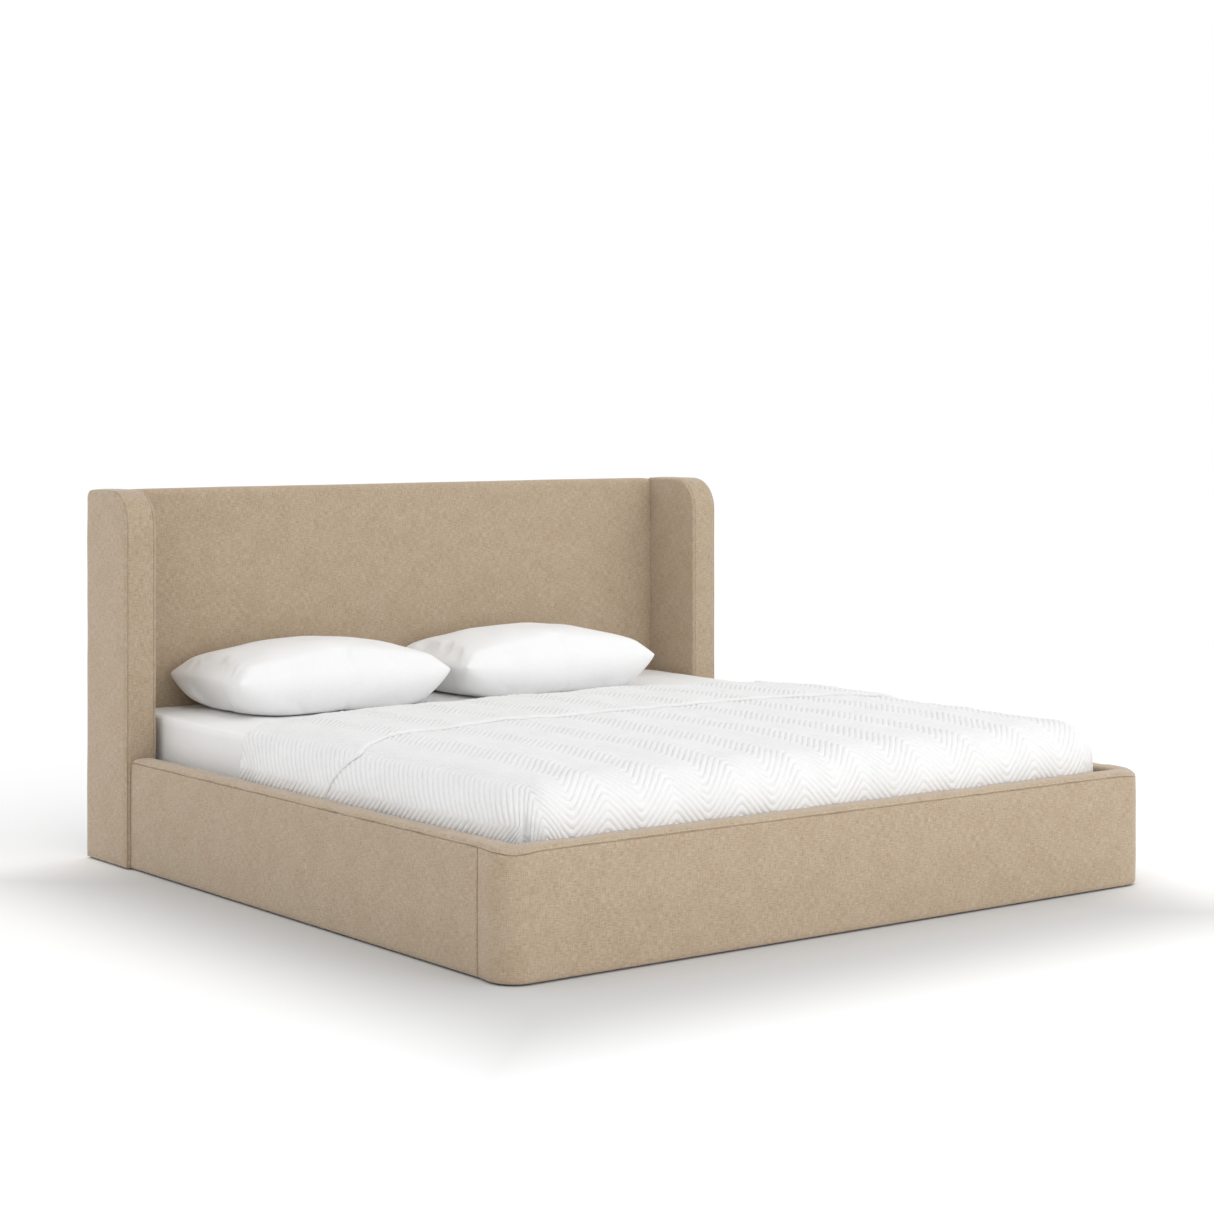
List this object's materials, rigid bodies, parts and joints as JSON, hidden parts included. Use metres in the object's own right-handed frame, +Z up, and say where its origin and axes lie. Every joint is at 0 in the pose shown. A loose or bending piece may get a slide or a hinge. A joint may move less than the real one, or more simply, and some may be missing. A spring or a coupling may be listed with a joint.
{
  "type": "upholstered wing bed",
  "caption": "King-size bed with padded headboard wings, upholstered rails and foot section, slatted base, mattress, fitted sheet, ribbed coverlet and pillows.",
  "frame": {"origin": "centre of the bed's footprint, on the floor", "axes": "+X to the right of someone looking from the foot at the headboard, +Y towards the head, +Z up"},
  "size_m": [2.166, 2.146, 1.077],
  "materials": {
    "upholstery": "beige linen-look woven polyester, matt",
    "foam": "open-cell polyurethane foam with fibre wrap",
    "plywood": "unfinished plywood",
    "pine": "planed softwood",
    "lining": "black spun-bonded dust cloth",
    "bracket_steel": "black powder coat",
    "zinc": "zinc plated",
    "nylon": "black nylon",
    "ticking": "knitted mattress ticking",
    "sheet": "white cotton percale",
    "coverlet": "white cotton matelasse with herringbone ribs",
    "pillowcase": "white cotton percale over a fibre-filled pillow"
  },
  "bodies": {
    "frame": {"beam_hanger_foot": "bracket_steel", "beam_hanger_head": "bracket_steel", "centre_beam": "pine", "centre_leg_1": "pine", "centre_leg_2": "pine", "centre_leg_3": "pine", "foot_board": "pine", "foot_corner_block_left": "pine", "foot_corner_block_right": "pine", "foot_cover": "upholstery", "foot_foam": "foam", "foot_glide_left": "nylon", "foot_glide_right": "nylon", "foot_plate_left": "bracket_steel", "foot_plate_right": "bracket_steel", "head_cross_rail": "pine", "headboard_board": "plywood", "headboard_cover": "upholstery", "headboard_foam": "foam", "headboard_lining": "lining", "side_cleat_left": "pine", "side_cleat_right": "pine", "side_rail_board_left": "pine", "side_rail_board_right": "pine", "side_rail_cover_left": "upholstery", "side_rail_cover_right": "upholstery", "side_rail_foam_left": "foam", "side_rail_foam_right": "foam", "slat_01": "pine", "slat_02": "pine", "slat_03": "pine", "slat_04": "pine", "slat_05": "pine", "slat_06": "pine", "slat_07": "pine", "slat_08": "pine", "slat_09": "pine", "slat_10": "pine", "slat_11": "pine", "slat_12": "pine", "wing_bracket_left": "bracket_steel", "wing_bracket_right": "bracket_steel", "wing_cleat_left": "pine", "wing_cleat_right": "pine", "wing_core_left": "plywood", "wing_core_right": "plywood", "wing_cover_left": "upholstery", "wing_cover_right": "upholstery", "wing_foam_left": "foam", "wing_foam_right": "foam", "wing_glide_left": "nylon", "wing_glide_right": "nylon"},
    "mattress_set": {"mattress": "ticking", "fitted_sheet": "sheet", "coverlet": "coverlet"},
    "left_pillow": {"pillow_left": "pillowcase"},
    "right_pillow": {"pillow_right": "pillowcase"},
    "leveller_1": {"levelling_foot_1": "zinc"},
    "leveller_2": {"levelling_foot_2": "zinc"},
    "leveller_3": {"levelling_foot_3": "zinc"}
  },
  "joints": [
    {"name": "mattress_lift", "type": "slide", "parent": "frame", "child": "mattress_set", "axis": [0, 0, 1], "range_m": [0, 0.3]},
    {"name": "left_pillow_lift", "type": "slide", "parent": "mattress_set", "child": "left_pillow", "axis": [0, 0, 1], "range_m": [0, 0.3]},
    {"name": "right_pillow_lift", "type": "slide", "parent": "mattress_set", "child": "right_pillow", "axis": [0, 0, 1], "range_m": [0, 0.3]},
    {"name": "leveller_1_screw", "type": "slide", "parent": "frame", "child": "leveller_1", "axis": [0, 0, 1], "range_m": [0, 0.0115]},
    {"name": "leveller_2_screw", "type": "slide", "parent": "frame", "child": "leveller_2", "axis": [0, 0, 1], "range_m": [0, 0.0115]},
    {"name": "leveller_3_screw", "type": "slide", "parent": "frame", "child": "leveller_3", "axis": [0, 0, 1], "range_m": [0, 0.0115]}
  ]
}
